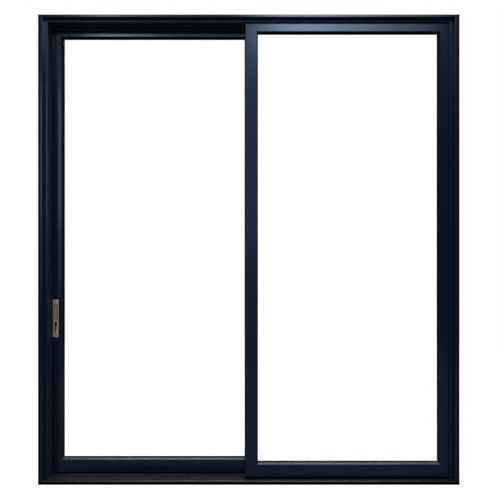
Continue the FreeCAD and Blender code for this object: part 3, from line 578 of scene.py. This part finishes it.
# %% Zinc
ZINC_PATCH = 5
CLEAR, CLOUDY = 0.32, 0.5

zinc, tree, shader = start_material("zinc_plated_steel")
where = add_node(tree, "ShaderNodeTexCoord")
patches = add_node(tree, "ShaderNodeTexVoronoi",
                   {"Scale": per_metre(ZINC_PATCH), "Randomness": 1.0},
                   {"Vector": where.outputs["Object"]})
cloud = add_node(tree, "ShaderNodeMix",
                 {"data_type": "RGBA", FIRST: linear("#8B8E92"), SECOND: linear("#B4B6B8")},
                 {FACTOR: patches.outputs["Color"]})
haze = add_node(tree, "ShaderNodeMapRange", {"To Min": CLEAR, "To Max": CLOUDY},
                {"Value": patches.outputs["Color"]})
tree.links.new(cloud.outputs[MIXED], shader.inputs["Base Color"])
tree.links.new(haze.outputs["Result"], shader.inputs["Roughness"])
shader.inputs["Metallic"].default_value = 1.0
print("zinc", zinc.name)

# %% [markdown]
# ## Moulded and extruded plastics and rubbers
#
# Wheels are nylon, setting blocks polypropylene, the travel stop rubber, and the glazing gaskets
# extruded rubber. All are near black, and they differ in how fine and how dull their skin is.
# The gaskets are the dullest, so that they stay black beside the bright glass, apart from the
# dust and painted sheen on the upper side of the lowest run.

# %% Plastics and rubbers
# Patches of tone are this many millimetres across
TONE_PATCH = 35
GRAIN_DEPTH = 0.1 * MM
GRAIN_DRIFT = 0.08


def moulded(name, colour, pale, roughness, gloss, grain, dust_and_sheen=0.0):
    """A moulded skin: a fine grain in the surface and a slow drift between two tones."""
    made, tree, shader = start_material(name)
    where = add_node(tree, "ShaderNodeTexCoord")
    skin = add_node(tree, "ShaderNodeTexNoise", {"Scale": per_metre(grain), "Detail": 2.0},
                    {"Vector": where.outputs["Object"]})
    bump = add_node(tree, "ShaderNodeBump", {"Strength": 0.2, "Distance": GRAIN_DEPTH},
                    {"Height": skin.outputs["Fac"]})
    drift = add_node(tree, "ShaderNodeTexNoise",
                     {"Scale": per_metre(TONE_PATCH), "Detail": 4.0},
                     {"Vector": where.outputs["Object"]})
    tone = add_node(tree, "ShaderNodeMix",
                    {"data_type": "RGBA", FIRST: linear(colour), SECOND: linear(pale)},
                    {FACTOR: drift.outputs["Fac"]})
    dust_and_sheen_tone = add_node(tree, "ShaderNodeMix", {"data_type": "RGBA", SECOND: linear(PALE_DUST_AND_SHEEN)},
                     {FACTOR: dust_and_sheen_mask(tree, dust_and_sheen), FIRST: tone.outputs[MIXED]})
    dullness = add_node(tree, "ShaderNodeMapRange",
                        {"To Min": roughness - GRAIN_DRIFT, "To Max": roughness + GRAIN_DRIFT},
                        {"Value": skin.outputs["Fac"]})
    tree.links.new(dust_and_sheen_tone.outputs[MIXED], shader.inputs["Base Color"])
    tree.links.new(dullness.outputs["Result"], shader.inputs["Roughness"])
    tree.links.new(bump.outputs["Normal"], shader.inputs["Normal"])
    shader.inputs["Specular IOR Level"].default_value = gloss
    return made


nylon = moulded("black_nylon", "#19191A", "#262627", roughness=0.45, gloss=0.5, grain=0.8)
block_plastic = moulded("polypropylene_block", "#1B1C1D", "#27282A", roughness=0.55, gloss=0.4,
                        grain=1.0)
stop_rubber = moulded("moulded_rubber", "#111111", "#1D1D1D", roughness=0.7, gloss=0.3, grain=1.2)
gasket_rubber = moulded("extruded_glazing_rubber", "#050506", "#0B0B0C", roughness=0.75,
                        gloss=0.04, grain=0.7, dust_and_sheen=0.12)
spacer_bar = moulded("warm_edge_spacer_bar", "#0E0F10", "#141516", roughness=0.7, gloss=0.04,
                     grain=0.9)
skins = (nylon, block_plastic, stop_rubber, gasket_rubber, spacer_bar)
print("moulded", [skin.name for skin in skins])

# %% [markdown]
# ## Glass
#
# The panes are clear float glass, drawn flat on molten tin, so both faces are true and almost
# colourless, with a breath of green from iron. The toughening rollers leave a long wave of a few
# hundredths of a millimetre, drawn here about 600 mm from crest to crest, which only shows where
# a reflection bends. The panes cast no shadow of their own, because the white world lights
# through them.

# %% Float glass
ROLLER_WAVE, ROLLER_HEIGHT = 592, 0.03 * MM
# The bands of a Wave node turn by twenty radians for each unit of its scaled coordinate
BAND_TURN = 20

pane_glass, tree, shader = start_material("clear_float_glass")
where = add_node(tree, "ShaderNodeTexCoord")
rollers = add_node(tree, "ShaderNodeTexWave",
                   {"wave_type": "BANDS", "bands_direction": "Z", "Distortion": 1.5,
                    "Scale": per_metre(ROLLER_WAVE) * math.tau / BAND_TURN},
                   {"Vector": where.outputs["Object"]})
ripple = add_node(tree, "ShaderNodeBump", {"Strength": 0.02, "Distance": ROLLER_HEIGHT},
                  {"Height": rollers.outputs["Fac"]})
tree.links.new(ripple.outputs["Normal"], shader.inputs["Normal"])
shader.inputs["Base Color"].default_value = linear("#FDFEFD")
shader.inputs["Roughness"].default_value = 0.0
shader.inputs["IOR"].default_value = 1.5
shader.inputs["Transmission Weight"].default_value = 1.0
print("glass", pane_glass.name)

# %% [markdown]
# ## Finishes onto the solids
#
# The record names a material slot for every node. The finish of a slot goes on each of its
# nodes, apart from the few whose surface differs from the rest of their slot.

# %% Assign the finishes
finish_of_slot = {
    "frame_coat": frame_coat,
    "sill_coat": sill_coat,
    "rail_steel": rolled_steel,
    "lock_steel": lock_steel,
    "pull_nickel": nickel,
    "housing_zinc": zinc,
    "wheel_nylon": nylon,
    "block_plastic": block_plastic,
    "stop_rubber": stop_rubber,
    "gasket_rubber": gasket_rubber,
    "spacer_bar": spacer_bar,
    "pane_glass": pane_glass,
}
finish_of_node = {
    "head": head_coat,
    "jamb_filler": cover_coat,
    "head_filler": cover_coat,
    "fixed_glazing_beads": bead_coat,
    "slider_glazing_beads": bead_coat,
    "lock_lever": lever_nickel,
}
for row in frame["record"]["subparts"]:
    piece = nodes[row["node"]]
    finish = finish_of_node.get(row["node"], finish_of_slot[row["material_slot"]])
    piece.data.materials.clear()
    piece.data.materials.append(finish)
    if row["material_slot"] == "pane_glass":
        piece.visible_shadow = False
print("finishes", len(finish_of_slot), "slots and", len(finish_of_node), "nodes of their own")

# %% [markdown]
# ## Screws
#
# Each pull is held by two raised countersunk screws, and so are the strike plate and the lock's
# faceplate. A head starts as a disc, is extruded and its rim rounded with a bevel. Four cuts
# each way across the top mark out a cross, and the faces of the cross are pushed in.

# %% Screw head
HEAD_RADIUS, HEAD_RISE, HEAD_RIM = 3.4 * MM, 0.8 * MM, 0.5 * MM
CROSS_WIDE, CROSS_REACH, CROSS_DEEP = 1.2 * MM, 2.2 * MM, 0.7 * MM
HEAD_SIDES = 32
# A face this close to the top counts as part of it
LEVEL_WITH = 0.01 * MM


def new_verts(result):
    """The vertices among the geometry that an operator has made."""
    return [part for part in result["geom"] if isinstance(part, bmesh.types.BMVert)]


def on_top(face):
    """True for the faces of a head's flat top."""
    return face.calc_center_median().z > HEAD_RISE - LEVEL_WITH


def cross_head(shape):
    """One round screw head that faces up, with a cross pushed into its top."""
    bmesh.ops.create_circle(shape, cap_ends=True, segments=HEAD_SIDES, radius=HEAD_RADIUS)
    top = new_verts(bmesh.ops.extrude_face_region(shape, geom=shape.faces[:]))
    bmesh.ops.translate(shape, verts=top, vec=(0, 0, HEAD_RISE))
    rim = [edge for edge in shape.edges if edge.verts[0] in top and edge.verts[1] in top]
    bmesh.ops.bevel(shape, geom=rim, offset=HEAD_RIM, segments=4, profile=0.5,
                    affect="EDGES", material=-1)
    for axis in ((1, 0, 0), (0, 1, 0)):
        for spot in (-CROSS_REACH, -CROSS_WIDE / 2, CROSS_WIDE / 2, CROSS_REACH):
            flat = [face for face in shape.faces if on_top(face)]
            cut = {*flat, *(e for f in flat for e in f.edges), *(v for f in flat for v in f.verts)}
            bmesh.ops.bisect_plane(shape, geom=list(cut), plane_co=Vector(axis) * spot,
                                   plane_no=axis)
    cross = []
    for face in filter(on_top, shape.faces):
        middle = face.calc_center_median()
        near, far = sorted((abs(middle.x), abs(middle.y)))
        if near < CROSS_WIDE / 2 and far < CROSS_REACH:
            cross.append(face)
    bottom = new_verts(bmesh.ops.extrude_face_region(shape, geom=cross))
    bmesh.ops.delete(shape, geom=cross, context="FACES_ONLY")
    bmesh.ops.translate(shape, verts=bottom, vec=(0, 0, -CROSS_DEEP))


print("screw head", round(2 * HEAD_RADIUS / MM, 1), "mm across")

# %% [markdown]
# A head is made once, facing up. A matrix turns it to its plate and puts it in place, and a copy
# goes the same distance below the plate's middle. Every piece of trim from here on becomes an
# object at the origin, with its place in its mesh, and rides on the body that carries it.

# %% Screws in place
PULL_SCREWS = 71.5 * MM
PLATE_SCREWS = 84 * MM


def add_piece(name, shape, finish, body):
    """An object from a bmesh, at the origin, with its finish, that rides on a body."""
    bmesh.ops.recalc_face_normals(shape, faces=shape.faces)
    mesh = bpy.data.meshes.new(name)
    shape.to_mesh(mesh)
    shape.free()
    mesh.materials.append(finish)
    piece = bpy.data.objects.new(name, mesh)
    bpy.context.scene.collection.objects.link(piece)
    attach(piece, body)
    return piece


def screw_pair(name, middle, spread, facing, finish, body):
    """Two screw heads that face one way, one above and one below a point."""
    shape = bmesh.new()
    cross_head(shape)
    turn = Vector(facing).to_track_quat("Z", "Y").to_matrix().to_4x4()
    upper = Matrix.Translation(Vector(middle) + Vector((0, 0, spread))) @ turn
    bmesh.ops.transform(shape, matrix=upper, verts=shape.verts)
    whole = [*shape.verts, *shape.edges, *shape.faces]
    lower = new_verts(bmesh.ops.duplicate(shape, geom=whole))
    bmesh.ops.translate(shape, verts=lower, vec=(0, 0, -2 * spread))
    return add_piece(name, shape, finish, body)


strike_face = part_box("strike_plate")[1].x
face_low, face_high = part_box("lock_faceplate")
plate = (face_low + face_high) / 2
pull = (pull_low + pull_high) / 2
screws = [
    screw_pair("outer_pull_screws", (pull.x, pull_low.y, pull.z), PULL_SCREWS, (0, -1, 0),
               screw_nickel, "slider"),
    screw_pair("inner_pull_screws", (pull.x, inner_high.y, pull.z), PULL_SCREWS, (0, 1, 0),
               screw_nickel, "slider"),
    screw_pair("strike_screws", (strike_face, plate.y, plate.z), PLATE_SCREWS, (1, 0, 0),
               lock_steel, "frame"),
    screw_pair("faceplate_screws", (face_low.x, plate.y, plate.z), PLATE_SCREWS, (-1, 0, 0),
               lock_steel, "slider"),
]
print("screws", [(piece.name, len(piece.data.polygons)) for piece in screws])

# %% [markdown]
# ## The lever
#
# The lock's lever lies in its recess: a tapered arm on a round boss, narrower than the recess
# and set to the right, so that a fingertip gets behind it. The CAD lever is a plain link of the
# same length and lean. Here two short cylinders, one for the boss and one for the tip, are
# wrapped in a convex hull, which gives the tapered sides at once. Only the hull's outside is
# kept, and a bevel rounds every rim. A thin pin runs through the boss to both walls of the
# recess.

# %% Lever
PIVOT = Vector((-859.5, 23.5, 665.0)) * MM
LEAN = math.radians(12)
ARM = 22 * MM
BOSS_RADIUS, TIP_RADIUS = 3.0 * MM, 2.2 * MM
BLADE, BLADE_SHIFT = 5.6 * MM, 2.0 * MM
BLADE_SIDES, BLADE_RIM = 40, 0.7 * MM
PIN_RADIUS, PIN_LENGTH, PIN_SIDES = 1.4 * MM, 17 * MM, 24
FLAT, SHARP = math.radians(1), math.radians(60)

lie_along_x = Matrix.Rotation(math.pi / 2, 4, "Y")
tip_place = Vector((0, -math.sin(LEAN), -math.cos(LEAN))) * ARM
shape = bmesh.new()
for place, radius in ((Vector(), BOSS_RADIUS), (tip_place, TIP_RADIUS)):
    spot = Matrix.Translation(PIVOT + place + Vector((BLADE_SHIFT, 0, 0))) @ lie_along_x
    bmesh.ops.create_cone(shape, cap_ends=True, segments=BLADE_SIDES, radius1=radius,
                          radius2=radius, depth=BLADE, matrix=spot)
bmesh.ops.delete(shape, geom=shape.faces[:], context="FACES_ONLY")
hull = bmesh.ops.convex_hull(shape, input=shape.verts)
inside = [part for part in hull["geom_interior"] if isinstance(part, bmesh.types.BMVert)]
bmesh.ops.delete(shape, geom=inside, context="VERTS")
bmesh.ops.recalc_face_normals(shape, faces=shape.faces)
bmesh.ops.dissolve_limit(shape, angle_limit=FLAT, verts=shape.verts, edges=shape.edges)
rims = [edge for edge in shape.edges if edge.calc_face_angle(0) > SHARP]
bmesh.ops.bevel(shape, geom=rims, offset=BLADE_RIM, segments=4, profile=0.5,
                affect="EDGES", material=-1)
bmesh.ops.create_cone(shape, cap_ends=True, segments=PIN_SIDES, radius1=PIN_RADIUS,
                      radius2=PIN_RADIUS, depth=PIN_LENGTH,
                      matrix=Matrix.Translation(PIVOT) @ lie_along_x)
lever = add_piece("lever_arm", shape, lever_nickel, "lever")
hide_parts("lock_lever")
print("lever", len(lever.data.polygons), "faces")

# %% [markdown]
# ## Wedge gaskets
#
# Outside, the glass bears on the gasket of the CAD model. Inside, a wedge gasket is pressed in
# between the pane and its beads, and shows as a narrow black line round the glass. Each is one
# ring: a single face the size of the opening is inset, its middle is taken out, and the band
# that is left is given its depth and a rounded edge.

# %% Wedge gaskets
WEDGE_SHOWS, WEDGE_TUCK = 1.4 * MM, 0.3 * MM
WEDGE_DEPTH, WEDGE_ROUND = 3.0 * MM, 0.9 * MM
OFF_GLASS = 0.05 * MM
# Two faces whose normals have a smaller product than this meet at a square corner
SQUARE = 0.1
OUTER_STILE = {"fixed": "fixed_jamb_stile", "slider": "slider_lock_stile"}


def opening(panel):
    """The low and high corner of a panel's daylight opening, and its inner pane's back."""
    stiles = (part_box(panel + "_meeting_stile"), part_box(OUTER_STILE[panel]))
    left, right = sorted(stiles, key=lambda box: box[0].x)
    low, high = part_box(panel + "_bottom_rail")[1].z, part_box(panel + "_top_rail")[0].z
    glass_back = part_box(panel + "_glass_inner")[1].y
    return Vector((left[1].x, 0, low)), Vector((right[0].x, 0, high)), glass_back


def wedge_gasket(panel, body):
    """A ring on the room side of a panel's inner pane, against its beads."""
    low, high, glass_back = opening(panel)
    middle, size = (low + high) / 2, high - low
    shape = bmesh.new()
    stretch = Matrix.Diagonal((size.x + 2 * WEDGE_TUCK, size.z + 2 * WEDGE_TUCK, 1, 1))
    upright = Matrix.Rotation(math.pi / 2, 4, "X")
    stand = Matrix.Translation((middle.x, glass_back + OFF_GLASS, middle.z)) @ upright
    bmesh.ops.create_grid(shape, x_segments=1, y_segments=1, size=0.5, matrix=stand @ stretch)
    pane = shape.faces[:]
    bmesh.ops.inset_region(shape, faces=pane, thickness=WEDGE_SHOWS + WEDGE_TUCK,
                           use_boundary=True, use_even_offset=True)
    bmesh.ops.delete(shape, geom=pane, context="FACES")
    back = new_verts(bmesh.ops.extrude_face_region(shape, geom=shape.faces[:]))
    bmesh.ops.translate(shape, verts=back, vec=(0, WEDGE_DEPTH, 0))
    corners = []
    for edge in shape.edges:
        at_back = edge.verts[0] in back and edge.verts[1] in back
        if at_back and len(edge.link_faces) == 2:
            one, other = edge.link_faces
            if abs(one.normal.dot(other.normal)) < SQUARE:
                corners.append(edge)
    bmesh.ops.bevel(shape, geom=corners, offset=WEDGE_ROUND, segments=3, profile=0.5,
                    affect="EDGES", material=-1)
    return add_piece(panel + "_wedge_gasket", shape, gasket_rubber, body)


rings = [wedge_gasket("fixed", "frame"), wedge_gasket("slider", "slider")]
print("wedge gaskets", [(ring.name, len(ring.data.polygons)) for ring in rings])

# %% [markdown]
# ## Brush piles
#
# A sliding panel is sealed by brush pile: a strip of short stiff fibres woven into a backing,
# which slides into a slot of the frame and brushes the panel's face. Four strips face the
# sliding panel, two in the left jamb and two in the head. Each is a thin fin, cut across into
# short tufts whose tips are pushed in or out a little by seeded chance, on a flat backing. The
# tips stop half a millimetre short of the panel, as worn pile does, so the panel still moves
# freely.

# %% Brush pile
TUFT = 9 * MM
PILE_THICK, PILE_SHORT = 1.6 * MM, 0.5 * MM
BACKING_WIDE, BACKING_THICK, BACKING_RIM = 5.0 * MM, 0.8 * MM, 0.3 * MM
# Tips are up to this many millimetres short or to one side, and the fin is thinner there
TIP_RAGGED, TIP_STRAY, TIP_THIN = 0.9, 0.25, 0.75
ACROSS_PANEL = Vector((0, 1, 0))
pile_fibre = moulded("grey_black_brush_pile", "#121213", "#242426", roughness=0.9, gloss=0.05,
                     grain=0.5)
chance = random.Random(7)


def brush_pile(name, start, end, reach):
    """A strip from start to end, with its backing there and fibres that reach along Y."""
    start, end = Vector(start), Vector(end)
    length = (end - start).length
    run = (end - start).normalized()
    frame_of_strip = Matrix((run, run.cross(ACROSS_PANEL), ACROSS_PANEL)).transposed().to_4x4()
    spot = Matrix.Translation((start + end) / 2) @ frame_of_strip
    way = 1 if reach > 0 else -1
    shape = bmesh.new()
    bmesh.ops.create_grid(shape, x_segments=round(length / TUFT), y_segments=1, size=0.5,
                          matrix=Matrix.Diagonal((length, PILE_THICK, 1, 1)))
    tips = new_verts(bmesh.ops.extrude_face_region(shape, geom=shape.faces[:]))
    for tip in sorted(tips, key=lambda v: (round(v.co.x, 5), v.co.y)):
        tip.co.z = way * (abs(reach) - chance.uniform(0, TIP_RAGGED) * MM)
        tip.co.y = tip.co.y * TIP_THIN + chance.uniform(-TIP_STRAY, TIP_STRAY) * MM
    flat_strip = Matrix.Diagonal((length, BACKING_WIDE, BACKING_THICK, 1))
    seat = Matrix.Translation((0, 0, way * BACKING_THICK / 2))
    backing = bmesh.ops.create_cube(shape, size=1.0, matrix=seat @ flat_strip)["verts"]
    edges = {edge for vert in backing for edge in vert.link_edges}
    rims = {edge for edge in edges if edge.calc_length() > length / 2}
    bmesh.ops.bevel(shape, geom=list(rims), offset=BACKING_RIM, segments=2, profile=0.5,
                    affect="EDGES", material=-1)
    bmesh.ops.transform(shape, matrix=spot, verts=shape.verts)
    return add_piece(name, shape, pile_fibre, "frame")


print("pile", pile_fibre.name)

# %% [markdown]
# The strips stand on the two legs that the sliding panel runs between, so their places come from
# those legs, and their reach from the panel's own faces.

# %% Brush piles in place
CENTRE_LEG_BACK, INNER_LEG_FRONT = 13.0 * MM, 66.5 * MM
JAMB_PILE_X, JAMB_PILE_FOOT, JAMB_PILE_TOP = -877.5 * MM, 45 * MM, 1976 * MM
HEAD_PILE_Z = 1999.5 * MM
HEAD_PILE_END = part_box("head")[1].x - 34 * MM

panel_low, panel_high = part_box("slider_lock_stile")
runs = {
    "left_jamb": ((JAMB_PILE_X, JAMB_PILE_FOOT), (JAMB_PILE_X, JAMB_PILE_TOP)),
    "head": ((-HEAD_PILE_END, HEAD_PILE_Z), (HEAD_PILE_END, HEAD_PILE_Z)),
}
sides = {
    "outer": (CENTRE_LEG_BACK, panel_low.y - PILE_SHORT - CENTRE_LEG_BACK),
    "inner": (INNER_LEG_FRONT, panel_high.y + PILE_SHORT - INNER_LEG_FRONT),
}
piles = []
for member, ((start_x, start_z), (end_x, end_z)) in runs.items():
    for side, (leg, reach) in sides.items():
        piles.append(brush_pile(f"{member}_pile_{side}", (start_x, leg, start_z),
                                (end_x, leg, end_z), reach))
print("piles", [(pile.name, len(pile.data.polygons)) for pile in piles])
